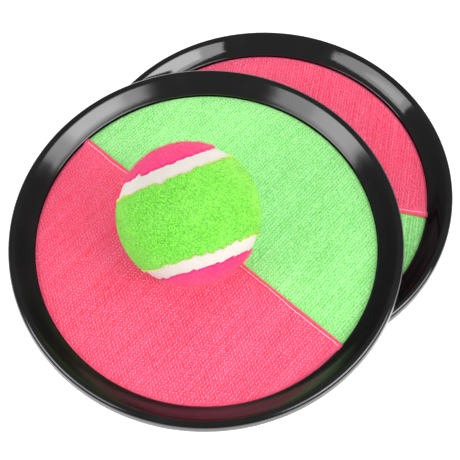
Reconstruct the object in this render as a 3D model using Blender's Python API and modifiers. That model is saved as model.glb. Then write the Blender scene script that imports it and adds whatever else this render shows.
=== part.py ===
"""Hook and loop catch set: two round catching paddles, one lying on the other's rim, and a felt ball.

Metres, +Z up. The origin is on the ground, midway between the two paddles' centres.
"""

import math

import bmesh
import bpy
from mathutils import Matrix, Vector

# Clearance between touching pieces
FIT_GAP = 0.0003

# Face ring of a paddle, by its section
DISC_RADIUS = 0.0950
RING_WIDTH = 0.0118
LIP_WIDTH = 0.0032
LIP_FALL = 0.0020
CREST_RISE = 0.0010
SKIRT_HEIGHT = 0.0042
SKIRT_FLARE = 0.0005
RING_WALL = 0.0015
TOE_HEIGHT = 0.0003

# Cloth face, inside the ring
FACE_DEPTH = 0.0070
CLOTH_THICKNESS = 0.0015
CLAMP_WIDTH = 0.0022
CLAMP_PRESS = 0.0002
BOARD_THICKNESS = 0.0010

# Seam where the pink cloth laps over the green
SEAM_OFFSET = 0.0016
FOLD_WIDTH = 0.0042
FOLD_RISE = 0.0004
LAP_WIDTH = 0.0062
TONGUE_THICKNESS = 0.0005
THREAD_INSET = 0.0021
THREAD_DIAMETER = 0.0004
THREAD_END_ROOM = 0.0010
GROOVE_DEPTH = 0.0007

# Back shell with its hand well and strap bars
SHELL_WALL = 0.0015
SHELL_RIM_WALL = 0.0014
SHOULDER_DROP = 0.0005
WELL_RADIUS = 0.0580
WELL_DRAFT = 0.0006
RIB_COUNT = 12
RIB_THICKNESS = 0.0014
RIB_DROP = 0.0002
BAR_RADIUS = 0.0009
BAR_EDGE = 0.00054
BAR_DISTANCE = 0.0480
BAR_PILLAR = 0.0022
POCKET_INWARD = 0.0085
POCKET_OUTWARD = 0.0048
POCKET_SIDE_ROOM = 0.0020

# Hand strap and its closing tab
STRAP_WIDTH = 0.0300
STRAP_THICKNESS = 0.0007
STRAP_GROUND_GAP = 0.0003
STRAP_STITCHED_END = 0.0300
STRAP_FREE_END = 0.0450
TAB_LENGTH = 0.0280
TAB_WIDTH = 0.0260
TAB_THICKNESS = 0.0005

# Ball, by its outer radius and the latitudes where its covers meet
BALL_RADIUS = 0.0327
FELT_THICKNESS = 0.0022
STRIP_RECESS = 0.0005
COVER_BED = 0.0004
BAND_LATITUDE = math.radians(32.4)
CAP_LATITUDE = math.radians(47.2)
BALL_AXIS_AZIMUTH = math.radians(113.6)
BALL_AXIS_TILT = math.radians(26.6)
BALL_PLACE = (-0.0075, -0.0039)

# Where the two paddles lie, and which way their seams run
CENTRE_STEP = (0.0305, 0.0384)
FRONT_SEAM_ANGLE = math.radians(-40.5)
REAR_SEAM_ANGLE = math.radians(170.0)

# Fineness of the round pieces, and how far helper shapes reach past what they cut
RING_STEPS = 72
SHELL_STEPS = 60
BALL_STEPS = 32
ARC_STEP = math.radians(10.0)
LIP_STEPS = 5
WRAP_STEPS = 6
THREAD_POINTS = 14
SMOOTH_ANGLE = math.radians(35.0)
WELD_DISTANCE = 0.000001
CUT_REACH = 0.0050

# Heights above the ground side of a paddle, worked out from the stack of pieces
STRAP_LOW = STRAP_GROUND_GAP
STRAP_LOW_MID = STRAP_LOW + STRAP_THICKNESS / 2
TAB_LOW = STRAP_LOW + STRAP_THICKNESS + FIT_GAP
STRAP_HIGH = TAB_LOW + TAB_THICKNESS + FIT_GAP
STRAP_HIGH_MID = STRAP_HIGH + STRAP_THICKNESS / 2
WELL_DEPTH = STRAP_HIGH + STRAP_THICKNESS + FIT_GAP
SEAT_HEIGHT = WELL_DEPTH + SHELL_WALL
BOARD_LOW = SEAT_HEIGHT + FIT_GAP
CLOTH_LOW = BOARD_LOW + BOARD_THICKNESS + FIT_GAP
CLOTH_TOP = CLOTH_LOW + CLOTH_THICKNESS
DISC_HEIGHT = CLOTH_TOP + FACE_DEPTH
CREST_HEIGHT = DISC_HEIGHT + CREST_RISE

# Strap bars, which the strap wraps from below
WRAP_RADIUS = BAR_RADIUS + FIT_GAP + STRAP_THICKNESS / 2
BAR_HEIGHT = STRAP_LOW_MID + WRAP_RADIUS
POCKET_HALF_WIDTH = STRAP_WIDTH / 2 + POCKET_SIDE_ROOM

# Radii that follow from the ring
FACE_RADIUS = DISC_RADIUS - RING_WIDTH
CLOTH_RADIUS = FACE_RADIUS + CLAMP_WIDTH
TRIM_RADIUS = FACE_RADIUS - FIT_GAP
SKIRT_RADIUS = DISC_RADIUS + SKIRT_FLARE
RIM_OUTER = DISC_RADIUS - RING_WALL - FIT_GAP
RIM_INNER = RIM_OUTER - SHELL_RIM_WALL
SHOULDER_HEIGHT = DISC_HEIGHT - SKIRT_HEIGHT - SHOULDER_DROP
LIP_UNDER = CREST_HEIGHT - RING_WALL - FIT_GAP


def line_height(start, end, radius):
    """Height at a radius on the straight line through two points of a section."""
    share = (radius - start[0]) / (end[0] - start[0])
    return start[1] + share * (end[1] - start[1])


def line_radius(start, end, height):
    """Radius at a height on the straight line through two points of a section."""
    share = (height - start[1]) / (end[1] - start[1])
    return start[0] + share * (end[0] - start[0])


def beside(start, end, distance):
    """The line through two points of a section, moved outwards and down by a distance."""
    along = Vector(end) - Vector(start)
    side = Vector((along.y, -along.x)).normalized() * distance
    return tuple(Vector(start) + side), tuple(Vector(end) + side)


def arc(centre, radius, start, end, steps):
    """Points on an arc of a section, both ends included."""
    points = []
    for i in range(steps + 1):
        angle = start + (end - start) * i / steps
        points.append((centre[0] + radius * math.cos(angle), centre[1] + radius * math.sin(angle)))
    return points


def clear_scene():
    for obj in list(bpy.data.objects):
        bpy.data.objects.remove(obj, do_unlink=True)


def new_collection(name):
    collection = bpy.data.collections.new(name)
    bpy.context.scene.collection.children.link(collection)
    return collection


def new_material(name, color, roughness):
    material = bpy.data.materials.new(name)
    material.use_nodes = True
    shader = material.node_tree.nodes["Principled BSDF"]
    shader.inputs["Base Color"].default_value = (*color, 1.0)
    shader.inputs["Roughness"].default_value = roughness
    shader.inputs["Metallic"].default_value = 0.0
    material.diffuse_color = (*color, 1.0)
    return material


def smooth_round(obj):
    obj.data.shade_smooth()
    obj.data.set_sharp_from_angle(angle=SMOOTH_ANGLE)


def place(obj, parent, material, location=(0, 0, 0), rotation=(0, 0, 0)):
    """Puts a finished piece in the part's collection, on its carrier."""
    for collection in list(obj.users_collection):
        collection.objects.unlink(obj)
    parts.objects.link(obj)
    obj.parent = parent
    obj.location = location
    obj.rotation_euler = rotation
    obj.data.materials.append(material)
    return obj


def place_cutter(obj, parent):
    """Puts a helper shape among the cutters, out of the render."""
    for collection in list(obj.users_collection):
        collection.objects.unlink(obj)
    cutters.objects.link(obj)
    obj.parent = parent
    obj.hide_render = True
    obj.display_type = "WIRE"
    return obj


def new_empty(name, location, rotation=(0, 0, 0), parent=None):
    empty = bpy.data.objects.new(name, None)
    empty.empty_display_size = SKIRT_HEIGHT
    empty.location = location
    empty.rotation_euler = rotation
    empty.parent = parent
    parts.objects.link(empty)
    return empty


def turned(name, profile, steps, closed):
    """A turned piece: its section, drawn top to bottom down the outer side, swept about Z."""
    count = len(profile)
    edges = [(i, i + 1) for i in range(count - 1)]
    if closed:
        edges.append((count - 1, 0))
    mesh = bpy.data.meshes.new(name)
    mesh.from_pydata([(r, 0, z) for r, z in profile], edges, [])
    obj = bpy.data.objects.new(name, mesh)
    screw = obj.modifiers.new("Turn", "SCREW")
    screw.axis = "Z"
    screw.angle = 2 * math.pi
    screw.steps = steps
    screw.render_steps = steps
    screw.use_merge_vertices = True
    screw.merge_threshold = WELD_DISTANCE
    screw.use_smooth_shade = True
    return obj


def flat_outline(name, points, depth):
    """A mesh plate: a closed outline in X and Y, thickened evenly about Z = 0."""
    curve = bpy.data.curves.new(name, "CURVE")
    curve.dimensions = "2D"
    curve.fill_mode = "BOTH"
    curve.extrude = depth / 2
    spline = curve.splines.new("POLY")
    spline.points.add(len(points) - 1)
    for point, (x, y) in zip(spline.points, points):
        point.co = (x, y, 0, 1)
    spline.use_cyclic_u = True
    source = bpy.data.objects.new(name, curve)
    bpy.context.scene.collection.objects.link(source)
    graph = bpy.context.evaluated_depsgraph_get()
    mesh = bpy.data.meshes.new_from_object(source.evaluated_get(graph))
    bpy.data.objects.remove(source, do_unlink=True)
    welded = bmesh.new()
    welded.from_mesh(mesh)
    bmesh.ops.remove_doubles(welded, verts=welded.verts, dist=WELD_DISTANCE)
    bmesh.ops.recalc_face_normals(welded, faces=welded.faces)
    welded.to_mesh(mesh)
    welded.free()
    mesh.name = name
    return bpy.data.objects.new(name, mesh)


def section_bar(name, points, length):
    """A bar along X whose end shape is drawn in Y and Z."""
    obj = flat_outline(name, points, length)
    for vert in obj.data.vertices:
        y, z, x = vert.co
        vert.co = (x, y, z)
    return obj


def box(name, low, high):
    """A box between two corners."""
    mesh = bpy.data.meshes.new(name)
    shape = bmesh.new()
    bmesh.ops.create_cube(shape, size=1.0)
    for vert in shape.verts:
        for axis in range(3):
            vert.co[axis] = (low[axis] + high[axis]) / 2 + vert.co[axis] * (high[axis] - low[axis])
    shape.to_mesh(mesh)
    shape.free()
    return bpy.data.objects.new(name, mesh)


def disc(name, radius, low, high, steps):
    """A plain round plate between two heights."""
    mesh = bpy.data.meshes.new(name)
    shape = bmesh.new()
    bmesh.ops.create_cone(
        shape, cap_ends=True, segments=steps, radius1=radius, radius2=radius, depth=high - low
    )
    bmesh.ops.translate(shape, verts=shape.verts, vec=(0, 0, (low + high) / 2))
    shape.to_mesh(mesh)
    shape.free()
    return bpy.data.objects.new(name, mesh)


def combine(obj, other, operation):
    modifier = obj.modifiers.new(operation.title(), "BOOLEAN")
    modifier.operation = operation
    modifier.object = other


def ring_slope():
    """The two ends of the sloping face between the cloth and the crest of the lip."""
    toe_low = CLOTH_TOP - CLAMP_PRESS + FIT_GAP
    inner = (FACE_RADIUS, toe_low + TOE_HEIGHT)
    outer = (DISC_RADIUS - LIP_WIDTH, CREST_HEIGHT)
    return toe_low, inner, outer


def ring_profile():
    """Section of the face ring: slope, lip that rounds down to the skirt, and the hollow under them."""
    toe_low, inner, outer = ring_slope()
    under_start, under_end = beside(inner, outer, RING_WALL)
    skirt_low = DISC_HEIGHT - SKIRT_HEIGHT
    profile = [(FACE_RADIUS, toe_low), inner]
    for across, up in arc((0, 0), 1, math.pi / 2, 0, LIP_STEPS):
        profile.append((outer[0] + LIP_WIDTH * across, outer[1] - LIP_FALL * (1 - up)))
    profile.append((SKIRT_RADIUS, skirt_low))
    profile.append((SKIRT_RADIUS - RING_WALL, skirt_low))
    profile.append((DISC_RADIUS - RING_WALL, LIP_UNDER))
    profile.append((line_radius(under_start, under_end, LIP_UNDER), LIP_UNDER))
    profile.append((line_radius(under_start, under_end, toe_low), toe_low))
    return profile


def make_face_ring(prefix, paddle):
    ring = turned(prefix + "_face_ring", ring_profile(), RING_STEPS, closed=True)
    place(ring, paddle, black_gloss)


def shell_wall_lines():
    """Inner and outer lines of the shell's sloping side, which clears the board's edge."""
    inner_start = (CLOTH_RADIUS + FIT_GAP, SEAT_HEIGHT)
    inner_end = (RIM_INNER, SHOULDER_HEIGHT)
    outer_start, outer_end = beside(inner_start, inner_end, SHELL_WALL)
    return (inner_start, inner_end), (outer_start, outer_end)


def shell_rim_top():
    """Top of the shell's rim, just under the ring's slope."""
    _, inner, outer = ring_slope()
    under_start, under_end = beside(inner, outer, RING_WALL)
    slope = math.atan2(outer[1] - inner[1], outer[0] - inner[0])
    below_slope = line_height(under_start, under_end, RIM_INNER)
    return min(below_slope, LIP_UNDER) - FIT_GAP / math.cos(slope)


def shell_profile():
    """Section of the back shell, from the middle out along the inside and back along the outside."""
    (inner_start, inner_end), (outer_start, outer_end) = shell_wall_lines()
    rim_top = shell_rim_top()
    return [
        (0, SEAT_HEIGHT),
        (WELL_RADIUS + SHELL_WALL - WELL_DRAFT, SEAT_HEIGHT),
        (WELL_RADIUS + SHELL_WALL, SHELL_WALL),
        (line_radius(inner_start, inner_end, SHELL_WALL), SHELL_WALL),
        inner_end,
        (RIM_INNER, rim_top),
        (RIM_OUTER, rim_top),
        (RIM_OUTER, line_height(outer_start, outer_end, RIM_OUTER)),
        (line_radius(outer_start, outer_end, 0), 0),
        (WELL_RADIUS, 0),
        (WELL_RADIUS - WELL_DRAFT, WELL_DEPTH),
        (0, WELL_DEPTH),
    ]


def rib_outline():
    """Side view of one rib, from the hand well's wall to the middle of the sloping side."""
    (inner_start, inner_end), (outer_start, outer_end) = shell_wall_lines()
    low = SHELL_WALL / 2
    high = SEAT_HEIGHT - RIB_DROP
    root = WELL_RADIUS + (SHELL_WALL - WELL_DRAFT) / 2

    def wall_middle(height):
        inside = line_radius(inner_start, inner_end, height)
        outside = line_radius(outer_start, outer_end, height)
        return (inside + outside) / 2

    return [(root, low), (wall_middle(low), low), (wall_middle(high), high), (root, high)]


def make_ribs(prefix, seam_frame):
    """All the ribs of one shell, as one helper shape that is joined to it."""
    ribs = flat_outline(prefix + "_ribs", rib_outline(), RIB_THICKNESS)
    shape = bmesh.new()
    shape.from_mesh(ribs.data)
    for vert in shape.verts:
        radius, height, side = vert.co
        vert.co = (radius, -side, height)
    first = list(shape.verts) + list(shape.edges) + list(shape.faces)
    step = 2 * math.pi / RIB_COUNT
    for i in range(1, RIB_COUNT):
        copy = bmesh.ops.duplicate(shape, geom=first)["geom"]
        verts = [item for item in copy if isinstance(item, bmesh.types.BMVert)]
        bmesh.ops.rotate(shape, verts=verts, matrix=Matrix.Rotation(step * i, 3, "Z"))
    bmesh.ops.rotate(shape, verts=shape.verts, matrix=Matrix.Rotation(step / 2, 3, "Z"))
    shape.to_mesh(ribs.data)
    shape.free()
    return place_cutter(ribs, seam_frame)


def bar_outline():
    """Front view of one strap bar with its two pillars, in Y and Z."""
    half = POCKET_HALF_WIDTH
    low = BAR_HEIGHT - BAR_RADIUS
    bar_top = BAR_HEIGHT + BAR_RADIUS
    root = WELL_DEPTH + SHELL_WALL / 2
    return [
        (-half - BAR_PILLAR, low),
        (half + BAR_PILLAR, low),
        (half + BAR_PILLAR, root),
        (half, root),
        (half, bar_top),
        (-half, bar_top),
        (-half, root),
        (-half - BAR_PILLAR, root),
    ]


def make_back_shell(prefix, seam_frame):
    shell = turned(prefix + "_back_shell", shell_profile(), SHELL_STEPS, closed=False)
    combine(shell, make_ribs(prefix, seam_frame), "UNION")
    for side, word in ((-1, "left"), (1, "right")):
        near = side * (BAR_DISTANCE - POCKET_INWARD)
        far = side * (BAR_DISTANCE + POCKET_OUTWARD)
        low = (min(near, far), -POCKET_HALF_WIDTH, WELL_DEPTH - SHELL_WALL)
        high = (max(near, far), POCKET_HALF_WIDTH, SEAT_HEIGHT + SHELL_WALL)
        pocket = place_cutter(box(f"{prefix}_{word}_pocket", low, high), seam_frame)
        combine(shell, pocket, "DIFFERENCE")
        bar = section_bar(f"{prefix}_{word}_bar", bar_outline(), 2 * BAR_RADIUS)
        place_cutter(bar, seam_frame).location.x = side * BAR_DISTANCE
        bevel = bar.modifiers.new("Round", "BEVEL")
        bevel.width = BAR_EDGE
        bevel.segments = 1
        bevel.limit_method = "ANGLE"
        combine(shell, bar, "UNION")
    place(shell, seam_frame, black_satin)


def make_backing_board(prefix, seam_frame):
    high = BOARD_LOW + BOARD_THICKNESS
    board = disc(prefix + "_backing_board", CLOTH_RADIUS, BOARD_LOW, high, SHELL_STEPS)
    smooth_round(board)
    place(board, seam_frame, board_grey)


def pink_section():
    """Section of the pink half across the seam: Y points to the green side, Z is up from the board."""
    edge = SEAM_OFFSET
    lap_start = edge - LAP_WIDTH
    top = CLOTH_THICKNESS
    fold_top = top + FOLD_RISE
    bevel = FOLD_RISE
    groove = THREAD_DIAMETER / 2 + FIT_GAP
    thread = edge - THREAD_INSET
    far = -CLOTH_RADIUS - CUT_REACH
    return [
        (far, 0),
        (lap_start, 0),
        (lap_start, TONGUE_THICKNESS + FIT_GAP),
        (edge, TONGUE_THICKNESS + FIT_GAP),
        (edge, fold_top - bevel),
        (edge - bevel, fold_top),
        (thread + groove, fold_top),
        (thread + groove, fold_top - GROOVE_DEPTH),
        (thread - groove, fold_top - GROOVE_DEPTH),
        (thread - groove, fold_top),
        (edge - FOLD_WIDTH + bevel, fold_top),
        (edge - FOLD_WIDTH, top),
        (far, top),
    ]


def green_section():
    """Section of the green half: a pressed tongue under the fold, then its full thickness."""
    lap_start = SEAM_OFFSET - LAP_WIDTH + FIT_GAP
    edge = SEAM_OFFSET + FIT_GAP
    far = CLOTH_RADIUS + CUT_REACH
    return [
        (lap_start, 0),
        (far, 0),
        (far, CLOTH_THICKNESS),
        (edge, CLOTH_THICKNESS),
        (edge, TONGUE_THICKNESS),
        (lap_start, TONGUE_THICKNESS),
    ]


def cloth_envelope():
    """The round space that the cloth may fill: open above the face, pressed down under the ring's toe."""
    low = CLOTH_LOW - CUT_REACH
    high = CLOTH_TOP + CUT_REACH
    press_low = CLOTH_TOP - CLAMP_PRESS
    return [
        (0, high),
        (TRIM_RADIUS, high),
        (TRIM_RADIUS, press_low),
        (CLOTH_RADIUS, press_low),
        (CLOTH_RADIUS, low),
        (0, low),
    ]


def make_cloth(prefix, seam_frame, name, section, material):
    """One half of the cloth: its section run along the seam, then cut to the round space."""
    cloth = section_bar(f"{prefix}_{name}", section, 2 * (CLOTH_RADIUS + CUT_REACH))
    space = turned(f"{prefix}_{name}_space", cloth_envelope(), SHELL_STEPS, closed=False)
    combine(cloth, place_cutter(space, seam_frame), "INTERSECT")
    place(cloth, seam_frame, material, location=(0, 0, CLOTH_LOW))


def make_seam_thread(prefix, seam_frame):
    """The stitching, one strand lying in the groove of the fold."""
    across = SEAM_OFFSET - THREAD_INSET
    height = CLOTH_TOP + FOLD_RISE - GROOVE_DEPTH + FIT_GAP + THREAD_DIAMETER / 2
    reach = math.sqrt((TRIM_RADIUS - FIT_GAP) ** 2 - across**2) - THREAD_END_ROOM
    curve = bpy.data.curves.new(prefix + "_seam_thread", "CURVE")
    curve.dimensions = "3D"
    curve.bevel_depth = THREAD_DIAMETER / 2
    curve.bevel_resolution = 1
    curve.use_fill_caps = True
    spline = curve.splines.new("POLY")
    spline.points.add(THREAD_POINTS - 1)
    for i, point in enumerate(spline.points):
        along = -reach + 2 * reach * i / (THREAD_POINTS - 1)
        point.co = (along, across, height, 1)
    thread = bpy.data.objects.new(prefix + "_seam_thread", curve)
    place(thread, seam_frame, thread_white)


def strap_path():
    """Middle line of the webbing in X and Z: under one bar, round it, across the well, round the other."""
    left = (-BAR_DISTANCE, BAR_HEIGHT)
    right = (BAR_DISTANCE, BAR_HEIGHT)
    ramp_start = BAR_DISTANCE - POCKET_INWARD + STRAP_THICKNESS
    ramp_end = BAR_DISTANCE - STRAP_THICKNESS
    path = [(-BAR_DISTANCE + STRAP_STITCHED_END, STRAP_LOW_MID)]
    path += arc(left, WRAP_RADIUS, -math.pi / 2, -3 * math.pi / 2, WRAP_STEPS)
    path.append((-ramp_end, BAR_HEIGHT + WRAP_RADIUS))
    path.append((-ramp_start, STRAP_HIGH_MID))
    path.append((ramp_start, STRAP_HIGH_MID))
    path.append((ramp_end, BAR_HEIGHT + WRAP_RADIUS))
    path += arc(right, WRAP_RADIUS, math.pi / 2, -math.pi / 2, WRAP_STEPS)
    path.append((BAR_DISTANCE - STRAP_FREE_END, STRAP_LOW_MID))
    return path


def make_hand_strap(prefix, seam_frame):
    """The webbing, an open strip along its path given its thickness."""
    mesh = bpy.data.meshes.new(prefix + "_hand_strap")
    strip = bmesh.new()
    half = STRAP_WIDTH / 2
    line = [strip.verts.new((x, -half, z)) for x, z in strap_path()]
    for first, second in zip(line, line[1:]):
        strip.edges.new((first, second))
    sides = bmesh.ops.extrude_edge_only(strip, edges=strip.edges[:])["geom"]
    moved = [item for item in sides if isinstance(item, bmesh.types.BMVert)]
    bmesh.ops.translate(strip, verts=moved, vec=(0, STRAP_WIDTH, 0))
    bmesh.ops.recalc_face_normals(strip, faces=strip.faces)
    strip.to_mesh(mesh)
    strip.free()
    strap = bpy.data.objects.new(prefix + "_hand_strap", mesh)
    solid = strap.modifiers.new("Thickness", "SOLIDIFY")
    solid.thickness = STRAP_THICKNESS
    solid.offset = 0
    solid.use_even_offset = True
    place(strap, seam_frame, webbing_black)


def make_strap_tab(prefix, seam_frame):
    """The hook patch between the strap's free end and its main run."""
    free_end = BAR_DISTANCE - STRAP_FREE_END
    low = (free_end, -TAB_WIDTH / 2, TAB_LOW)
    high = (free_end + TAB_LENGTH, TAB_WIDTH / 2, TAB_LOW + TAB_THICKNESS)
    tab = box(prefix + "_strap_tab", low, high)
    place(tab, seam_frame, tab_black)


def make_paddle(prefix, location, seam_angle):
    paddle = new_empty(prefix, location)
    seam_frame = new_empty(prefix + "_seam_frame", (0, 0, 0), (0, 0, seam_angle), paddle)
    make_face_ring(prefix, paddle)
    make_back_shell(prefix, seam_frame)
    make_backing_board(prefix, seam_frame)
    make_cloth(prefix, seam_frame, "pink_hook_cloth", pink_section(), pink_cloth)
    make_cloth(prefix, seam_frame, "green_hook_cloth", green_section(), green_cloth)
    make_seam_thread(prefix, seam_frame)
    make_hand_strap(prefix, seam_frame)
    make_strap_tab(prefix, seam_frame)


def latitude_arc(radius, start, end):
    """Points of a sphere's section between two latitudes."""
    steps = max(2, math.ceil(abs(end - start) / ARC_STEP - 0.01))
    return arc((0, 0), radius, start, end, steps)


def zone(name, outer, low, high):
    """A belt of cover between two latitudes, on the bed that the core leaves."""
    inner = BALL_RADIUS - FELT_THICKNESS
    profile = latitude_arc(outer, high, low) + latitude_arc(inner, low, high)
    return turned(name, profile, BALL_STEPS, closed=True)


def cap(name, low):
    """A round cap of felt over the ball's end, from one latitude to the pole."""
    pole = math.pi / 2
    outer = latitude_arc(BALL_RADIUS, pole, low)
    inner = latitude_arc(BALL_RADIUS - FELT_THICKNESS, low, pole)
    outer[0] = (0, BALL_RADIUS)
    inner[-1] = (0, BALL_RADIUS - FELT_THICKNESS)
    return turned(name, outer + inner, BALL_STEPS, closed=False)


def make_ball(location):
    lean = (0, math.pi / 2 - BALL_AXIS_TILT, BALL_AXIS_AZIMUTH)
    ball = new_empty("ball", location, lean)
    core_radius = BALL_RADIUS - FELT_THICKNESS - COVER_BED
    half_gap = FIT_GAP / 2 / BALL_RADIUS
    core = latitude_arc(core_radius, math.pi / 2, -math.pi / 2)
    core[0] = (0, core_radius)
    core[-1] = (0, -core_radius)
    place(turned("ball_core", core, BALL_STEPS, closed=False), ball, rubber_grey)
    band_edge = BAND_LATITUDE - half_gap
    band = zone("ball_green_band", BALL_RADIUS, -band_edge, band_edge)
    place(band, ball, green_felt)
    strip_radius = BALL_RADIUS - STRIP_RECESS
    for word, flip in (("upper", 0), ("lower", math.pi)):
        strip_low = BAND_LATITUDE + half_gap
        strip_high = CAP_LATITUDE - half_gap
        strip = zone(f"ball_{word}_strip", strip_radius, strip_low, strip_high)
        place(strip, ball, strip_white, rotation=(flip, 0, 0))
        end = cap(f"ball_{word}_cap", CAP_LATITUDE + half_gap)
        place(end, ball, pink_felt, rotation=(flip, 0, 0))


clear_scene()
parts = new_collection("hook_and_loop_catch_set")
cutters = new_collection("cutters")

black_gloss = new_material("black_gloss_plastic", (0.012, 0.012, 0.013), 0.18)
black_satin = new_material("black_satin_plastic", (0.014, 0.014, 0.015), 0.38)
board_grey = new_material("backing_board", (0.30, 0.29, 0.27), 0.85)
pink_cloth = new_material("pink_hook_cloth", (0.93, 0.10, 0.22), 0.62)
green_cloth = new_material("green_hook_cloth", (0.27, 0.83, 0.24), 0.62)
thread_white = new_material("white_thread", (0.86, 0.78, 0.78), 0.7)
webbing_black = new_material("black_webbing", (0.018, 0.018, 0.02), 0.85)
tab_black = new_material("black_hook_tab", (0.02, 0.02, 0.022), 0.7)
rubber_grey = new_material("rubber_core", (0.12, 0.12, 0.12), 0.8)
green_felt = new_material("green_felt", (0.24, 0.84, 0.08), 0.95)
pink_felt = new_material("pink_felt", (0.93, 0.06, 0.24), 0.95)
strip_white = new_material("white_strip", (0.87, 0.80, 0.76), 0.7)

STACK_STEP = CREST_HEIGHT + FIT_GAP
half_step = (CENTRE_STEP[0] / 2, CENTRE_STEP[1] / 2)
make_paddle("rear_paddle", (half_step[0], half_step[1], 0), REAR_SEAM_ANGLE)
make_paddle("front_paddle", (-half_step[0], -half_step[1], STACK_STEP), FRONT_SEAM_ANGLE)
ball_x = -half_step[0] + BALL_PLACE[0]
ball_y = -half_step[1] + BALL_PLACE[1]
make_ball((ball_x, ball_y, STACK_STEP + CLOTH_TOP + FIT_GAP + BALL_RADIUS))
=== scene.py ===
# %% [markdown]
# # A hook and loop catch set, dressed for a photograph
#
# The set is two round hand paddles and a felt ball. The solids of the set are already made: they
# give every piece its place and size. This lesson builds the surfaces that an eye would stop at,
# such as the hooks of the cloth, the nap of the felt and the gloss of the moulded ring, and lays
# them over those solids. Lengths are in metres, and +Z is up.

# %% Load the solids
import math

import bpy
import numpy as np
from mathutils import Matrix, Vector, noise


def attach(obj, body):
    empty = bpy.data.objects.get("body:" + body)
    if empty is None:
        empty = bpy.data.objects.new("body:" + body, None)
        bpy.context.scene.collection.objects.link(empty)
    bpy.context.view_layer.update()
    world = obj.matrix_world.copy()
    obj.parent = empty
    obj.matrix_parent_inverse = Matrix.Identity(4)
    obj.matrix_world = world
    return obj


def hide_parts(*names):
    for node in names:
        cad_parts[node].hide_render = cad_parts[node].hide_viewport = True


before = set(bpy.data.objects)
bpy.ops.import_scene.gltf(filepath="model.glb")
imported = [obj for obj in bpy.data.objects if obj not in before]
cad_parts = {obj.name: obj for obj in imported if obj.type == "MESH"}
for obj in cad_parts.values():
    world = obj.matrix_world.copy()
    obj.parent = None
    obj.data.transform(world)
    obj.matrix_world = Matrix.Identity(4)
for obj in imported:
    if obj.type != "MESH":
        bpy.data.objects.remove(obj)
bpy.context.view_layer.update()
MM = 0.001

# %% [markdown]
# ## The camera
#
# A photograph of a round thing gives the camera away: each rim is a circle in the room and an
# ellipse in the picture, so the ellipses tell the height, the distance and the tilt. The camera
# here stands in front of the set, looks down at it rather steeply, and leans by one degree. It is
# set by the two points of its line of sight, because they are easier to read than three angles.

# %% Place the camera
CAMERA_POINT = Vector((-0.00404, -0.20478, 0.41635))
LOOKED_AT = Vector((-0.00404, -0.01020, 0.01470))
CAMERA_LEAN = math.radians(1.09)
IMAGE_WIDTH = 460
FOCAL_PIXELS = 890.0


def make_camera():
    data = bpy.data.cameras.new("camera")
    data.sensor_width = 36.0
    data.lens = FOCAL_PIXELS * data.sensor_width / IMAGE_WIDTH
    data.clip_start = 0.01
    data.clip_end = 50.0
    camera = bpy.data.objects.new("camera", data)
    bpy.context.scene.collection.objects.link(camera)
    back = (CAMERA_POINT - LOOKED_AT).normalized()
    right = Vector((1, 0, 0))
    up = back.cross(right)
    turned_right = right * math.cos(CAMERA_LEAN) + up * math.sin(CAMERA_LEAN)
    turned_up = up * math.cos(CAMERA_LEAN) - right * math.sin(CAMERA_LEAN)
    camera.matrix_world = Matrix.Translation(CAMERA_POINT) @ Matrix(
        (turned_right, turned_up, back)
    ).transposed().to_4x4()
    bpy.context.scene.camera = camera
    return camera


camera = make_camera()
bpy.context.scene.view_settings.view_transform = "Standard"
print("camera lens in mm:", round(camera.data.lens, 2))

# %% [markdown]
# ## Helpers for meshes
#
# Most pieces here are either turned about an axis, or are grids of points bent into shape. Both
# can be written as arrays of points and faces, which is quick to compute and exact. Modelling by
# hand or with modifiers would also do for the turned pieces, but not for thousands of hooks.


# %% Turn arrays into pieces
def make_piece(name, points, faces, material, place):
    """A smooth mesh object from arrays, with its own axes given by place."""
    mesh = bpy.data.meshes.new(name)
    mesh.from_pydata([tuple(p) for p in points.reshape(-1, 3)], [], [tuple(f) for f in faces])
    mesh.shade_smooth()
    mesh.materials.append(material)
    piece = bpy.data.objects.new(name, mesh)
    bpy.context.scene.collection.objects.link(piece)
    piece.matrix_world = place
    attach(piece, "root")
    return piece


def grid_faces(rows, columns, close_rows=False, close_columns=False):
    """Quads between neighbouring points of a grid that is stored row by row."""
    i, j = np.meshgrid(
        np.arange(rows if close_rows else rows - 1),
        np.arange(columns if close_columns else columns - 1),
        indexing="ij",
    )
    i, j = i.ravel(), j.ravel()
    below, beside = (i + 1) % rows, (j + 1) % columns
    return np.stack(
        [i * columns + j, i * columns + beside, below * columns + beside, below * columns + j], 1
    )


def arc_points(centre, radius, start, end, count):
    """Points on an arc of a section, angles in degrees."""
    angle = np.radians(np.linspace(start, end, count))
    return [(centre[0] + radius * math.cos(a), centre[1] + radius * math.sin(a)) for a in angle]


def turn(name, section, steps, material, place):
    """A closed section of radius and height pairs, clockwise with Z up, turned about Z."""
    angle = 2 * math.pi * np.arange(steps) / steps
    section = np.array(section, float)
    x = np.outer(np.cos(angle), section[:, 0])
    y = np.outer(np.sin(angle), section[:, 0])
    points = np.stack([x, y, np.tile(section[:, 1], (steps, 1))], 2)
    faces = grid_faces(steps, len(section), close_rows=True, close_columns=True)
    return make_piece(name, points, faces, material, place)


def beside(line):
    """Directions at right angles to a flat line of points."""
    ahead = np.gradient(line, axis=0)
    ahead /= np.linalg.norm(ahead, axis=1)[:, None]
    return np.stack([-ahead[:, 1], ahead[:, 0]], 1)


def eased(share):
    """A share from 0 to 1 that starts and ends gently."""
    return share * share * (3 - 2 * share)


def wave(values, seed, length, parts=5):
    """Smooth irregular waves along a line, about -1 to 1, the same ones each time."""
    chance = np.random.default_rng(seed)
    total = np.zeros_like(values, float)
    for part in range(parts):
        size = chance.uniform(0.5, 1.0) / (1 + 0.6 * part)
        total += size * np.sin(values * (part + 1) / length + chance.uniform(0, 2 * math.pi))
    return total / parts * 1.6


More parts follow.
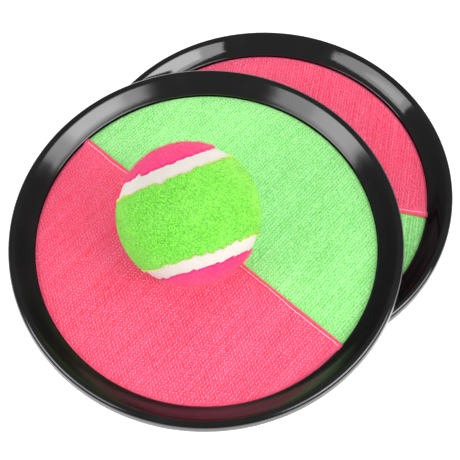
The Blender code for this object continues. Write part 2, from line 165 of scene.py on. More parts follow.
# %% [markdown]
# ## Helpers for finishes
#
# A finish is a small graph of shader nodes. The helpers below add a node with its settings in one
# line, so that a graph reads from top to bottom like a recipe. Values that are the same all over
# a surface are set on the shader itself, and only what varies from place to place is linked.


# %% Build finishes from nodes
def add_node(tree, kind, inputs=(), **settings):
    """A shader node with its settings made, and its inputs set or linked. Gives its outputs."""
    node = tree.nodes.new("ShaderNode" + kind)
    for key, value in settings.items():
        setattr(node, key, value)
    for key, value in dict(inputs).items():
        if isinstance(value, bpy.types.NodeSocket):
            tree.links.new(value, node.inputs[key])
        else:
            node.inputs[key].default_value = value
    return node.outputs


class Finish:
    """A material with one Principled shader, and short ways to add nodes to it."""

    grain_angle = 0.0

    def __init__(self, name, color, roughness, **sockets):
        self.material = bpy.data.materials.new(name)
        self.material.use_nodes = True
        self.tree = self.material.node_tree
        self.shader = self.tree.nodes["Principled BSDF"]
        self.shader.inputs["Base Color"].default_value = (*color, 1)
        self.shader.inputs["Roughness"].default_value = roughness
        for socket, value in sockets.items():
            self.shader.inputs[socket.replace("_", " ")].default_value = value

    def add(self, kind, inputs=(), **settings):
        return add_node(self.tree, kind, inputs, **settings)

    def place(self, scale=(1, 1, 1)):
        """The piece's own coordinates, turned so that X crosses its ribs, then stretched."""
        own = self.add("TexCoord")["Object"]
        if self.grain_angle:
            turned = {"Vector": own, "Rotation": (0, 0, -self.grain_angle)}
            own = self.add("Mapping", turned)["Vector"]
        return self.add("Mapping", {"Vector": own, "Scale": scale})["Vector"]

    def noise(self, vector, scale, detail=2.0, roughness=0.5):
        inputs = {"Vector": vector, "Scale": scale, "Detail": detail, "Roughness": roughness}
        return self.add("TexNoise", inputs)["Fac"]

    def span(self, value, low, high, to_low=0.0, to_high=1.0):
        """A value stretched from one span to another, held at the ends."""
        inputs = {"Value": value, "From Min": low, "From Max": high}
        inputs.update({"To Min": to_low, "To Max": to_high})
        return self.add("MapRange", inputs)["Result"]

    def math(self, operation, first, second=0.0):
        return self.add("Math", {0: first, 1: second}, operation=operation)["Value"]

    def blend(self, share, first, second):
        """A colour between two, by a share from 0 to 1."""
        ends = [c if isinstance(c, bpy.types.NodeSocket) else (*c, 1) for c in (first, second)]
        return self.add("Mix", {0: share, 6: ends[0], 7: ends[1]}, data_type="RGBA")[2]

    def bump(self, height, depth, strength=1.0, under=None):
        inputs = {"Height": height, "Distance": depth, "Strength": strength}
        if under is not None:
            inputs["Normal"] = under
        return self.add("Bump", inputs)["Normal"]

    def link(self, output, socket):
        self.tree.links.new(output, self.shader.inputs[socket])


# %% [markdown]
# ## Where the paddles lie
#
# Both paddles come from one mould, so everything is built once in a paddle's own frame and placed
# twice. The cloth has a second frame inside it: X runs along the seam, and Y points to the green
# half. With that frame the rows of hooks, the fold and the stitching become straight lines.

# %% Frames of the two paddles
STACK_STEP = 0.0160
HALF_STEP = (0.01525, 0.0192)
PADDLES = {
    "front": Matrix.Translation((-HALF_STEP[0], -HALF_STEP[1], STACK_STEP)),
    "rear": Matrix.Translation((HALF_STEP[0], HALF_STEP[1], 0.0)),
}
SEAM_ANGLES = {"front": math.radians(-40.5), "rear": math.radians(170.0)}


def seam_frame(which):
    return PADDLES[which] @ Matrix.Rotation(SEAM_ANGLES[which], 4, "Z")


# %% [markdown]
# ## The face ring
#
# The ring is a glossy black moulding: a slope that guides the ball to the cloth, a rounded lip
# and a short skirt. Only its section matters, so it is drawn once and turned. The crest, the lip
# and the toe get real roundings of a few tenths of a millimetre, because a gloss surface shows
# its lamps as thin bright lines exactly there. The toe stands on a narrow black foot, put in the
# gap between toe and cloth where shade falls: it is painted shade, drawn as a black line round
# the cloth. A bevel modifier could round the edges too, but a drawn section puts each radius
# where the mould has it.

# %% Finish of the glossy moulding
def gloss_plastic(name, color, blur, streaks):
    """Black moulded plastic: fine scratches along the turning, and a little uneven gloss."""
    finish = Finish(name, color, blur, IOR=1.5, Specular_IOR_Level=0.75)
    rubbed = finish.noise(finish.place(), 45.0, 4.0, 0.6)
    fine = finish.noise(finish.place(), 900.0, 3.0, 0.65)
    uneven = finish.math("ADD", finish.span(rubbed, 0.3, 0.75, -streaks, streaks), blur)
    worn = finish.math("ADD", uneven, finish.span(fine, 0.62, 0.8, 0.0, 0.05))
    finish.link(worn, "Roughness")
    dust = tuple(c * 1.6 + 0.003 for c in color)
    finish.link(finish.blend(finish.span(rubbed, 0.5, 0.8), color, dust), "Base Color")
    ripple = finish.bump(finish.noise(finish.place(), 120.0, 2.0), 0.00003, 0.6)
    finish.link(finish.bump(fine, 0.000012, 0.5, ripple), "Normal")
    return finish.material


front_gloss = gloss_plastic("front_ring_plastic", (0.0038, 0.0038, 0.0042), 0.14, 0.03)
rear_gloss = gloss_plastic("rear_ring_plastic", (0.0045, 0.0045, 0.0050), 0.07, 0.02)

# %% Section and turning of the ring
FACE_RADIUS = 0.0832
DISC_RADIUS = 0.0950
CREST_RADIUS = 0.0918
CREST_HEIGHT = 0.0157
TOE_LOW = 0.00705
# The foot at the toe is painted shade: a black step where the gap under the toe is in shade.
SHADE_FOOT_HIGH = 0.0072
SHADE_FOOT_WIDTH = 0.0005
SKIRT_RADIUS = 0.0955
SKIRT_LOW = 0.0105
LIP_FALL = 0.0020
RING_STEPS = 288


def ring_section():
    """The ring's section, clockwise from the toe up the slope and over the lip."""
    lip_width = DISC_RADIUS - CREST_RADIUS
    # Painted shade: the foot is a narrow black step under the toe, standing in for the shade of the
    # gap.
    section = [(FACE_RADIUS + 0.0006, TOE_LOW), (FACE_RADIUS, TOE_LOW), (FACE_RADIUS, SHADE_FOOT_HIGH)]
    section += [(FACE_RADIUS + SHADE_FOOT_WIDTH, SHADE_FOOT_HIGH), (FACE_RADIUS + SHADE_FOOT_WIDTH, 0.0082)]
    section += arc_points((FACE_RADIUS + SHADE_FOOT_WIDTH + 0.0002, 0.00845), 0.0002, 178, 132, 4)
    section += [(FACE_RADIUS + 0.0010, 0.00888), (FACE_RADIUS + 0.0044, 0.01185)]
    section += [(CREST_RADIUS - 0.0010, 0.01483), (CREST_RADIUS - 0.0004, 0.01532)]
    section += [(CREST_RADIUS - 0.0001, 0.01552), (CREST_RADIUS + 0.0002, 0.01564)]
    for angle in np.radians([80, 72, 64, 56, 48, 40, 32, 24, 16, 8, 0]):
        across, up = math.cos(angle), math.sin(angle)
        section.append((CREST_RADIUS + lip_width * across, CREST_HEIGHT - LIP_FALL * (1 - up)))
    section += [(DISC_RADIUS + 0.0003, 0.0122), (SKIRT_RADIUS, SKIRT_LOW + 0.0003)]
    section += [(SKIRT_RADIUS - 0.0002, SKIRT_LOW), (SKIRT_RADIUS - 0.0013, SKIRT_LOW)]
    section += [(SKIRT_RADIUS - 0.0015, SKIRT_LOW + 0.0003), (DISC_RADIUS - 0.0015, 0.0136)]
    section += [(0.0924, 0.0139), (0.0916, 0.0137), (0.0870, 0.0092)]
    return section


def make_ring(which, material):
    name = which + "_face_ring"
    ring = turn(name, ring_section(), RING_STEPS, material, PADDLES[which])
    ring.data.set_sharp_from_angle(angle=math.radians(50))
    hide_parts(which + "_paddle_face_ring")
    return ring


for which, gloss in (("front", front_gloss), ("rear", rear_gloss)):
    ring = make_ring(which, gloss)
    print(ring.name, "faces:", len(ring.data.polygons))

# %% [markdown]
# ## The back shells and the hidden boards
#
# The back shell closes the paddle from below and holds the strap. Its solid has every rib, pocket
# and bar in place, so the solid itself is shown and only gets a finish: a duller moulding with a
# fine spark-eroded grain, as moulds have where a hand holds them. The backing boards under the
# cloth are hidden, and get a plain pressed board finish.

# %% Finish the shells and boards
def grained_plastic():
    finish = Finish("shell_plastic", (0.0085, 0.0085, 0.0095), 0.32, IOR=1.5)
    grain = finish.noise(finish.place(), 2600.0, 2.0)
    soft = finish.noise(finish.place(), 60.0, 3.0)
    finish.link(finish.span(soft, 0.3, 0.7, 0.26, 0.40), "Roughness")
    finish.link(finish.blend(soft, (0.0065, 0.0065, 0.0072), (0.0125, 0.0125, 0.0135)), "Base Color")
    finish.link(finish.bump(grain, 0.00003, 0.5), "Normal")
    return finish.material


def pressed_board():
    finish = Finish("pressed_board", (0.30, 0.28, 0.25), 0.9)
    flakes = finish.noise(finish.place(), 700.0, 5.0, 0.7)
    finish.link(finish.blend(flakes, (0.20, 0.18, 0.16), (0.42, 0.40, 0.36)), "Base Color")
    finish.link(finish.bump(flakes, 0.0001, 0.4), "Normal")
    return finish.material


def finish_solid(node, material):
    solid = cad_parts[node]
    solid.data.materials.clear()
    solid.data.materials.append(material)


shell_plastic, board = grained_plastic(), pressed_board()
for which in PADDLES:
    finish_solid(which + "_paddle_back_shell", shell_plastic)
    finish_solid(which + "_paddle_backing_board", board)

# %% [markdown]
# ## The ground of the hook cloth
#
# Hook cloth is a woven tape with rows of cut nylon loops. The ground is what shows between the
# hooks: a rib for every row, darker and stronger in colour than the hooks, and darkest between
# the rows. This darkness is partly the weave and partly painted shade, where the hooks shade the
# ground. It is one sheet for each half. The pink one ends in a fold that laps over the green, and
# is stitched down, so its edge is thicker, pressed in along the stitches, and never quite
# straight. The sheets are built as grids that run from the rim of the disc to the seam, because
# the fold then follows a grid line. A cloth simulation would add nothing here: the cloth is glued
# flat to its board.

# %% Finish of the cloth's ground
ROW_PITCH = 0.00149
HOOK_STEP = 0.00170


def cloth_ground(name, which, deep, pale):
    """Ribbed ground weave with a rib for every row, uneven along the rows. It is paler under each
    row of hooks and darker between rows: partly the weave, partly painted shade.
    """
    finish = Finish(f"{which}_{name}", deep, 0.8, Specular_IOR_Level=0.2)
    finish.grain_angle = SEAM_ANGLES[which]
    own = finish.place()
    ribs = finish.add(
        "TexWave",
        {
            "Vector": own,
            "Scale": 2 * math.pi / 20 / ROW_PITCH,
            "Distortion": 0.5,
            "Detail": 1.0,
            "Phase Offset": math.pi,
        },
        wave_type="BANDS",
        bands_direction="X",
    )["Fac"]
    knots = finish.noise(finish.place((1, 0.8, 1)), 1500.0, 2.0)
    streaks = finish.noise(finish.place((420, 14, 1)), 1.0, 3.0)
    patches = finish.noise(own, 35.0, 2.0)
    # Paler under each row of hooks and darker between the rows: the rib of the weave, and painted
    # shade between the rows of hooks.
    share = finish.span(ribs, 0.1, 0.9, 0.0, 0.24)
    for value, low, high, to_low, to_high in (
        (knots, 0.3, 0.7, 0.0, 0.80),
        (streaks, 0.35, 0.65, -0.10, 0.10),
        (patches, 0.3, 0.7, -0.08, 0.08),
    ):
        share = finish.math("ADD", share, finish.span(value, low, high, to_low, to_high))
    finish.link(finish.blend(share, deep, pale), "Base Color")
    relief = finish.bump(knots, 0.00012, 0.7)
    finish.link(finish.bump(ribs, 0.00010, 0.6, relief), "Normal")
    return finish.material


# Ground colours, darker than the hooks: partly the tape's own colour, partly painted shade under and
# between the hooks.
PINK_DEEP, PINK_PALE = (1.0, 0.034, 0.095), (1.0, 0.175, 0.33)
FOLD_DEEP, FOLD_PALE = (0.94, 0.024, 0.075), (1.0, 0.125, 0.245)
GREEN_DEEP, GREEN_PALE = (0.145, 0.66, 0.105), (0.50, 1.0, 0.42)


def fold_nose_shade():
    """A dull orange line of painted shade along the nose of the pink fold, where it drops onto the
    green.
    """
    finish = Finish("painted_shade_fold_nose", (0.60, 0.20, 0.05), 0.6)
    uneven = finish.noise(finish.place(), 900.0, 2.0)
    finish.link(finish.blend(uneven, (0.70, 0.10, 0.06), (0.55, 0.40, 0.08)), "Base Color")
    return finish.material


fold_nose_shade_finish = fold_nose_shade()

# %% Heights and edges of the cloth
CLOTH_LOW = 0.0062
GROUND_TOP = 0.0069
CLOTH_RADIUS = 0.0854
FOLD_WIDTH = {"front": 0.0028, "rear": 0.0034}
FOLD_TOP = 0.0080
FOLD_LOW = 0.0070
EDGE_OFFSET = {"front": 0.0016, "rear": 0.0022}
STITCH_INSET = {"front": 0.0019, "rear": 0.0023}
STITCH_WANDER = 0.00085
GREEN_TONGUE = 0.0040
FOLD_REACH = 0.0056
PINCH_WIDTH = 0.0018
PINCH_DEPTH = 0.00048
PRESS_WIDTH = 0.00035
PRESS_DEPTH = 0.00042


def seam_edge(which, along):
    """How far the folded edge lies on the green side, at places along the seam."""
    seed = 3 if which == "front" else 8
    return EDGE_OFFSET[which] + 0.00022 * wave(np.asarray(along, float), seed, 0.012)


def stitch_line(which, along):
    """Where the row of stitches runs, beside the folded edge."""
    seed = 5 if which == "front" else 12
    wander = STITCH_WANDER * wave(np.asarray(along, float), seed, 0.0120)
    wander = wander + 0.00016 * wave(np.asarray(along, float), seed + 1, 0.0016, 3)
    return seam_edge(which, along) - STITCH_INSET[which] + wander


# %% Build the sheets of ground
SHEET_COLUMNS = 200
FOLD_ROWS = 13
ACROSS = np.concatenate(
    [[0, 0.008, 0.016, 0.03], np.linspace(0.1, 0.92, 9), np.linspace(0.93, 1.0, 27)]
)


def sheet_grid(which, side):
    """Columns along the seam and rows from the rim to the seam's edge, for one half."""
    reach = CLOTH_RADIUS * 0.9996
    along = reach * np.sin(np.linspace(-math.pi / 2, math.pi / 2, SHEET_COLUMNS))
    along[0], along[-1] = -reach * 0.99999, reach * 0.99999
    rim = np.sqrt(CLOTH_RADIUS**2 - along**2) * side
    edge = seam_edge(which, along) if side < 0 else np.full_like(along, -GREEN_TONGUE)
    inside_rim = np.where(np.abs(edge) < np.abs(rim), edge, rim * 0.98)
    edge = inside_rim if side < 0 else np.minimum(edge, rim)
    y = rim[:, None] + (edge - rim)[:, None] * ACROSS[None, :]
    x = np.repeat(along[:, None], len(ACROSS), 1)
    return x, y, edge


def sheet_heights(which, side, x, y, edge):
    """Top and bottom of the sheet: flat, but folded at the pink edge, and tucked in on the green."""
    inward = edge[:, None] - y if side < 0 else y - seam_edge(which, x)
    low, top = np.full_like(x, CLOTH_LOW), np.full_like(x, GROUND_TOP)
    pinched = np.clip((np.hypot(x, y) - FACE_RADIUS + PINCH_WIDTH) / PINCH_WIDTH, 0, 1)
    top = top - PINCH_DEPTH * eased(pinched)
    if side < 0:
        lift = eased(np.clip((FOLD_REACH - inward) / 0.0012, 0, 1))
        low = low + (FOLD_LOW - CLOTH_LOW) * lift
        rise = np.clip((FOLD_WIDTH[which] - inward) / 0.0007, 0, 1)
        rise = np.sqrt(1 - (1 - rise) ** 2)
        top = np.maximum(top, top + (FOLD_TOP - GROUND_TOP) * rise)
        nose = np.clip(1 - inward / 0.0006, 0, 1)
        top = top - 0.00045 * nose**2
        pressed = y - stitch_line(which, x)
        top = top - PRESS_DEPTH * np.exp(-((pressed / PRESS_WIDTH) ** 2))
    else:
        tuck = np.clip((0.0004 - inward) / 0.0006, 0, 1)
        top = top - 0.00018 * tuck
    return low, np.maximum(top, low + 0.0002)


def turned_to_seam(which, points):
    """Points from the seam's frame in the frame of their paddle."""
    c, s = math.cos(SEAM_ANGLES[which]), math.sin(SEAM_ANGLES[which])
    return points @ np.array([(c, s, 0), (-s, c, 0), (0, 0, 1)])


def make_ground(which, color, side, material):
    x, y, edge = sheet_grid(which, side)
    low, top = sheet_heights(which, side, x, y, edge)
    upper = np.stack([x, y, top], 2).reshape(-1, 3)
    lower = np.stack([x, y, low], 2).reshape(-1, 3)
    columns, rows = x.shape
    sheet = grid_faces(columns, rows)
    count = columns * rows
    loop = [(i, 0) for i in range(columns)] + [(columns - 1, j) for j in range(1, rows)]
    loop += [(i, rows - 1) for i in range(columns - 2, -1, -1)]
    loop += [(0, j) for j in range(rows - 2, 0, -1)]
    loop = np.array([i * rows + j for i, j in loop])
    after = np.roll(loop, -1)
    skirt = np.stack([loop, after, after + count, loop + count], 1)
    if side < 0:
        faces = np.concatenate([sheet[:, ::-1], sheet + count, skirt[:, ::-1]])
    else:
        faces = np.concatenate([sheet, sheet[:, ::-1] + count, skirt])
    points = np.concatenate([upper, lower])
    name = f"{which}_{color}_cloth"
    ground = make_piece(name, turned_to_seam(which, points), faces, material, PADDLES[which])
    ground.data.set_sharp_from_angle(angle=math.radians(50))
    if side < 0:
        # The last rows, at the nose of the fold, get a dull orange line of painted shade; the rest
        # of the fold gets the folded edge's finish.
        ground.data.materials.append(fold_nose_shade_finish)
        ground.data.materials.append(cloth_ground("pink_folded_edge", which, FOLD_DEEP, FOLD_PALE))
        for face in ground.data.polygons:
            row = min(v % rows for v in face.vertices)
            face.material_index = 1 if row >= rows - 3 else 2 if row >= rows - FOLD_ROWS else 0
    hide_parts(f"{which}_paddle_{color}_hook_cloth")
    depth = np.abs(y[:, -1] - y[:, 0])
    return ground, float((depth[1:] + depth[:-1]) @ np.diff(x[:, 0]) / 2)


for which in PADDLES:
    for color, side, deep, pale in (
        ("pink", -1, PINK_DEEP, PINK_PALE),
        ("green", 1, GREEN_DEEP, GREEN_PALE),
    ):
        weave = cloth_ground(color + "_hook_cloth", which, deep, pale)
        make_ground(which, color, side, weave)

# %% [markdown]
# ## The hooks
#
# Every hook is a nylon loop that was cut on one side: it stands up, bends over and ends in the
# air. There are about four thousand on each half, in rows at right angles to the seam, and each
# row stands half a step beside the next. The hooks lie across their row at a slant, and in places
# every second row slants the other way, which gives the cloth its herringbone look. One hook is
# drawn as a thin three sided tube, and then copied to every place, with a small turn, lean and
# stretch of its own. Instances would be lighter, but real copies can differ from each other and
# stay a mesh wherever the model goes.

# %% Finish of the hooks
def hook_nylon(name, which, deep, pale, tip):
    finish = Finish(f"{which}_{name}", pale, 0.40, IOR=1.5, Specular_IOR_Level=0.8)
    finish.grain_angle = SEAM_ANGLES[which]
    own = finish.place()
    streaks = finish.noise(finish.place((420, 14, 1)), 1.0, 3.0)
    spots = finish.noise(own, 900.0, 1.0)
    height = finish.add("SeparateXYZ", {"Vector": finish.add("TexCoord")["Object"]})["Z"]
    # Painted light by height: each hook is darker at its foot, as painted shade where the ground and
    # its neighbours shade it, and paler towards the tip, as painted highlight.
    painted_light_by_height = finish.span(height, GROUND_TOP, 0.0078)
    body = finish.blend(painted_light_by_height, deep, pale)
    streaked = finish.span(streaks, 0.35, 0.65, 0.0, 0.25)
    share = finish.math("ADD", streaked, finish.span(spots, 0.35, 0.7, 0.0, 0.6))
    finish.link(finish.blend(finish.math("MULTIPLY", share, painted_light_by_height), body, tip), "Base Color")
    finish.link(finish.span(spots, 0.3, 0.7, 0.22, 0.5), "Roughness")
    return finish.material


# For each colour: the hook's foot, darker as painted shade; its upper part; and its tips, paler in
# patches as painted highlight.
NYLON = {
    "pink": ((1.0, 0.07, 0.16), (1.0, 0.22, 0.39), (1.0, 0.58, 0.74)),
    "green": ((0.32, 0.84, 0.26), (0.58, 1.0, 0.50), (0.86, 1.0, 0.80)),
}

# %% Places of the hooks
HOOK_EDGE_ROOM = 0.0014


def hook_places(which, side, seed):
    """Foot points of the hooks of one half, in rows at right angles to the seam."""
    chance = np.random.default_rng(seed)
    half = int(FACE_RADIUS / ROW_PITCH) + 1
    feet = []
    for row in range(-half, half + 1):
        x = row * ROW_PITCH
        if abs(x) > FACE_RADIUS - HOOK_EDGE_ROOM:
            continue
        reach = math.sqrt((FACE_RADIUS - HOOK_EDGE_ROOM) ** 2 - x * x)
        steps = int(reach / HOOK_STEP) + 2
        y = (np.arange(-steps, steps + 1) + 0.5 * (row % 2)) * HOOK_STEP
        edge = seam_edge(which, np.array([x]))[0]
        kept = y < edge - FOLD_WIDTH[which] - 0.0001 if side < 0 else y > edge + 0.0006
        y = y[kept & (np.abs(y) < reach)]
        feet.append(np.stack([np.full_like(y, x), y, np.full_like(y, row % 2)], 1))
    feet = np.concatenate(feet)
    feet[:, 0] += chance.normal(0, 0.00007, len(feet))
    feet[:, 1] += chance.normal(0, 0.00016, len(feet))
    return feet, chance


# %% Shape of one hook, copied to every place
HOOK_LINE = np.array([(-0.54, 0.0), (-0.52, 0.62), (0.06, 0.96), (0.62, 0.50)]) * MM
NYLON_RADIUS = 0.00018
SLANT = math.radians(-50)
MIRRORED_SHARE = {"pink": 0.22, "green": 0.42}


def hook_template():
    """Centre line and side directions of one hook, in its own upright plane."""
    side = beside(HOOK_LINE)
    ring = []
    for corner in np.radians([90, 210, 330]):
        flat = HOOK_LINE + side * NYLON_RADIUS * math.sin(corner)
        wide = np.full((len(HOOK_LINE), 1), NYLON_RADIUS * math.cos(corner))
        ring.append(np.concatenate([flat, wide], 1))
    points = np.stack(ring, 1).reshape(-1, 3)
    faces = grid_faces(len(HOOK_LINE), 3, close_columns=True)
    ends = np.array([[0, 1, 2], [len(points) - 1, len(points) - 2, len(points) - 3]])
    return points, faces, ends


def noise_patches(feet, length):
    """A smooth random value at every foot, that changes over the given length."""
    return np.array([noise.noise(Vector((x, y, 0)) / length) for x, y in feet[:, :2]])


def make_hooks(which, color, side, material, seed):
    feet, chance = hook_places(which, side, seed)
    shape, quads, ends = hook_template()
    count = len(feet)
    weave = noise_patches(feet, 0.011)
    crossed = (feet[:, 2] > 0) & (weave < np.quantile(weave, min(1, 2 * MIRRORED_SHARE[color])))
    facing = np.where(crossed, -SLANT, SLANT) + chance.normal(0, 0.13, count)
    facing += math.pi * chance.integers(0, 2, count)
    size = chance.normal(1.0, 0.07, (count, 1))
    lean = chance.normal(0, 0.10, (count, 1))
    run = shape[None, :, 0] * size
    up = shape[None, :, 1] * np.clip(size, 0.85, 1.10)
    wide = shape[None, :, 2] + up * lean
    x = feet[:, :1] + run * np.cos(facing)[:, None] - wide * np.sin(facing)[:, None]
    y = feet[:, 1:2] + run * np.sin(facing)[:, None] + wide * np.cos(facing)[:, None]
    z = GROUND_TOP - 0.00005 + up
    points = np.stack([x, y, z], 2).reshape(-1, 3)
    step = (np.arange(count) * len(shape))[:, None, None]
    faces = list(map(tuple, (quads[None] + step).reshape(-1, 4)))
    faces += list(map(tuple, (ends[None] + step).reshape(-1, 3)))
    points = turned_to_seam(which, points)
    hooks = make_piece(f"{which}_{color}_hooks", points, faces, material, PADDLES[which])
    return hooks, count


hooks = {}
for which in PADDLES:
    for color, side in (("pink", -1), ("green", 1)):
        seed = 20 + 2 * len(hooks)
        nylon = hook_nylon(color + "_hooks", which, *NYLON[color])
        hooks[which, color], count = make_hooks(which, color, side, nylon, seed)
        print(which, color, "hooks:", count)

# %% [markdown]
# ## The stitching
#
# One row of white lockstitch holds the fold down. From above it is a line of short bars that dip
# into the cloth at each needle hole. It is a tube along a wavy line whose height falls at every
# hole. Separate little bars would look the same from far away, but a real thread is one thread.

# %% Thread along the fold
THREAD_RADIUS = 0.00015
STITCH_LENGTH = {"front": 0.0026, "rear": 0.0024}
SINKING = {"front": 0.0006, "rear": 0.0012}


def thread_finish():
    finish = Finish("white_thread", (0.90, 0.66, 0.68), 0.6, Sheen_Weight=0.2)
    twist = finish.noise(finish.place((1, 6, 6)), 1400.0, 1.0)
    strands = finish.span(twist, 0.30, 0.55)
    finish.link(finish.blend(strands, (0.90, 0.50, 0.54), (0.98, 0.90, 0.90)), "Base Color")
    finish.link(finish.bump(twist, 0.00008, 0.6), "Normal")
    return finish.material


def tube(name, line, radius, sides, material, place):
    """A round tube along a line of points, closed at both ends."""
    ahead = np.gradient(line, axis=0)
    ahead /= np.linalg.norm(ahead, axis=1)[:, None]
    beside = np.cross(ahead, (0, 0, 1.0))
    beside /= np.linalg.norm(beside, axis=1)[:, None]
    above = np.cross(beside, ahead)
    turn = 2 * math.pi * np.arange(sides) / sides
    rings = line[:, None] + radius * (
        np.cos(turn)[None, :, None] * beside[:, None] + np.sin(turn)[None, :, None] * above[:, None]
    )
    faces = list(map(tuple, grid_faces(len(line), sides, close_columns=True)[:, ::-1]))
    last = len(line) * sides
    faces += [tuple(range(sides)), tuple(range(last - 1, last - sides - 1, -1))]
    return make_piece(name, rings, faces, material, place)


thread_white = thread_finish()


def make_thread(which):
    reach = math.sqrt(FACE_RADIUS**2 - 0.002**2) - 0.0012
    along = np.linspace(-reach, reach, 620)
    across = stitch_line(which, along)
    phase = np.abs(np.sin(math.pi * along / STITCH_LENGTH[which]))
    height = FOLD_TOP - 0.00040 + THREAD_RADIUS * 0.9 - 0.00042 * (1 - phase**0.35)
    sunk = np.clip(wave(along, 15 if which == "front" else 17, 0.0050) - 0.35, 0, 1)
    height = height - SINKING[which] * sunk
    line = np.stack([along, across, height], 1)
    thread = tube(which + "_seam_thread", line, THREAD_RADIUS, 6, thread_white, seam_frame(which))
    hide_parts(which + "_paddle_seam_thread")
    return thread


threads = {which: make_thread(which) for which in PADDLES}
print("threads:", [thread.name for thread in threads.values()])

# %% [markdown]
# ## The ball
#
# The ball is a rubber core with a felt band round the middle, two smooth white strips and two
# felt caps. The covers were cut and glued by hand, so their edges are ragged, and the two strips
# are not quite parallel. Each cover is a grid in longitude and latitude whose edge latitude is a
# wavy line. The felt is swollen by a little noise, and thousands of short curved fibres stand on
# it: they soften the outline, which a bump texture alone can't do.

# %% Frame and edges of the ball
BALL_RADIUS = 0.0327
FELT_LOW = 0.0305
STRIP_TOP = 0.0322
BALL_CENTRE = (-0.02275, -0.0231, 0.0567)
AXIS_TILT = math.radians(26.6)
AXIS_AZIMUTH = math.radians(113.6)
BALL_FRAME = (
    Matrix.Translation(BALL_CENTRE)
    @ Matrix.Rotation(AXIS_AZIMUTH, 4, "Z")
    @ Matrix.Rotation(math.pi / 2 - AXIS_TILT, 4, "Y")
)
BAND_LATITUDE = math.radians(32.4)
CAP_LATITUDE = math.radians(47.2)
BALL_COLUMNS = 360
LONGITUDES = 2 * math.pi * np.arange(BALL_COLUMNS) / BALL_COLUMNS


def right_longitude():
    """The longitude that lies to the right of the camera's view."""
    seen = BALL_FRAME.to_3x3().inverted() @ Vector((1, 0, 0))
    return math.atan2(seen.y, seen.x)


RIGHT = right_longitude()
STRIP_SKEW = math.radians(3.25)


def ragged(seed, size):
    """An uneven edge round the ball: slow waves, short nicks and fine fraying."""
    chance = np.random.default_rng(seed)
    slow = wave(LONGITUDES, seed, 1 / 5.0, 4) * 0.8
    slow = (slow + slow[::-1]) / 2
    depths = np.append(chance.normal(0, 1, 90), 0)
    nicks = np.interp(LONGITUDES, np.linspace(0, 2 * math.pi, len(depths)), depths)
    fray = chance.normal(0, 1, BALL_COLUMNS)
    return size * (0.9 * slow + 0.9 * nicks + 0.35 * fray)


def skewed(latitude, seed, size):
    """A cover's edge: its latitude, opened towards the right, with a ragged cut."""
    return latitude + STRIP_SKEW * np.cos(LONGITUDES - RIGHT) * 0.5 + ragged(seed, size)


EDGES = {
    "band_up": skewed(BAND_LATITUDE, 31, 0.016),
    "band_down": skewed(BAND_LATITUDE, 37, 0.019),
    "cap_up": skewed(CAP_LATITUDE, 43, 0.013),
    "cap_down": skewed(CAP_LATITUDE, 47, 0.014),
}
# One corner of the upper tape has come loose and stands up over the cap.
LOOSE_CORNER = math.radians(129)
CORNER_WIDTH = math.radians(3.0)
CORNER_HEIGHT = 0.060
from_corner = (LONGITUDES - LOOSE_CORNER) / CORNER_WIDTH
EDGES["cap_up"] = EDGES["cap_up"] + CORNER_HEIGHT * np.exp(-(from_corner**4))
print("right of the camera's view is longitude", round(math.degrees(RIGHT), 1))


# %% Felt and strip finishes
def felt(name, dark, middle, light, fuzz):
    """Napped felt: mottled in tufts of about a millimetre, soft at grazing angles."""
    finish = Finish(name, middle, 0.95, Sheen_Weight=0.45, Sheen_Roughness=0.4)
    finish.shader.inputs["Sheen Tint"].default_value = (*fuzz, 1)
    finish.shader.inputs["Specular IOR Level"].default_value = 0.15
    tufts = finish.noise(finish.place(), 1500.0, 3.0, 0.65)
    fine = finish.noise(finish.place(), 3000.0, 2.0, 0.6)
    worn = finish.noise(finish.place(), 70.0, 2.0)
    base = finish.blend(finish.span(tufts, 0.36, 0.60), dark, middle)
    flecks = finish.span(fine, 0.50, 0.72, 0, 0.6)
    lit = finish.math("ADD", flecks, finish.span(worn, 0.4, 0.7, 0, 0.15))
    finish.link(finish.blend(lit, base, light), "Base Color")
    relief = finish.bump(fine, 0.00012, 0.6)
    finish.link(finish.bump(tufts, 0.00045, 0.8, relief), "Normal")
    return finish.material


def white_tape():
    finish = Finish("white_tape", (0.62, 0.58, 0.54), 0.6, Sheen_Weight=0.1)
    cloudy = finish.noise(finish.place(), 160.0, 3.0)
    fibre = finish.noise(finish.place(), 1800.0, 3.0)
    finish.link(finish.blend(cloudy, (0.58, 0.535, 0.495), (0.66, 0.625, 0.585)), "Base Color")
    finish.link(finish.bump(fibre, 0.00006, 0.5), "Normal")
    return finish.material


green_felt = felt(
    "green_felt", (0.055, 0.37, 0.012), (0.22, 0.80, 0.065), (0.42, 0.97, 0.22), (1.0, 0.95, 0.35)
)
pink_felt = felt(
    "pink_felt", (0.72, 0.014, 0.12), (0.96, 0.040, 0.25), (1.0, 0.13, 0.38), (1.0, 0.4, 0.4)
)
tape_white = white_tape()


# %% Covers of the ball
EDGE_DROP = 0.0005
EDGE_ROUND = 0.0007
SWELL_SCALE = 520.0


def on_ball(latitude, longitude, radius):
    """Points of the ball in its own frame."""
    return np.stack(
        [
            radius * np.cos(latitude) * np.cos(longitude),
            radius * np.cos(latitude) * np.sin(longitude),
            radius * np.sin(latitude),
        ],
        -1,
    )


def swollen(points, height):
    """Points pushed outward by smooth noise, so that the felt isn't a perfect sphere."""
    moved = points.copy()
    for i, p in enumerate(points):
        length = math.sqrt(p @ p)
        moved[i] = p * (1 + height * noise.noise(Vector(p) * SWELL_SCALE) / length)
    return moved


def inner_side(latitude, longitude, radius):
    """The plain inside of a cover, back from its last row to its first, with few rows."""
    rows = latitude.shape[1]
    picked = np.unique(np.linspace(0, rows - 1, 4 + rows // 12).round().astype(int))[::-1]
    return on_ball(latitude[:, picked], longitude[:, picked], radius)


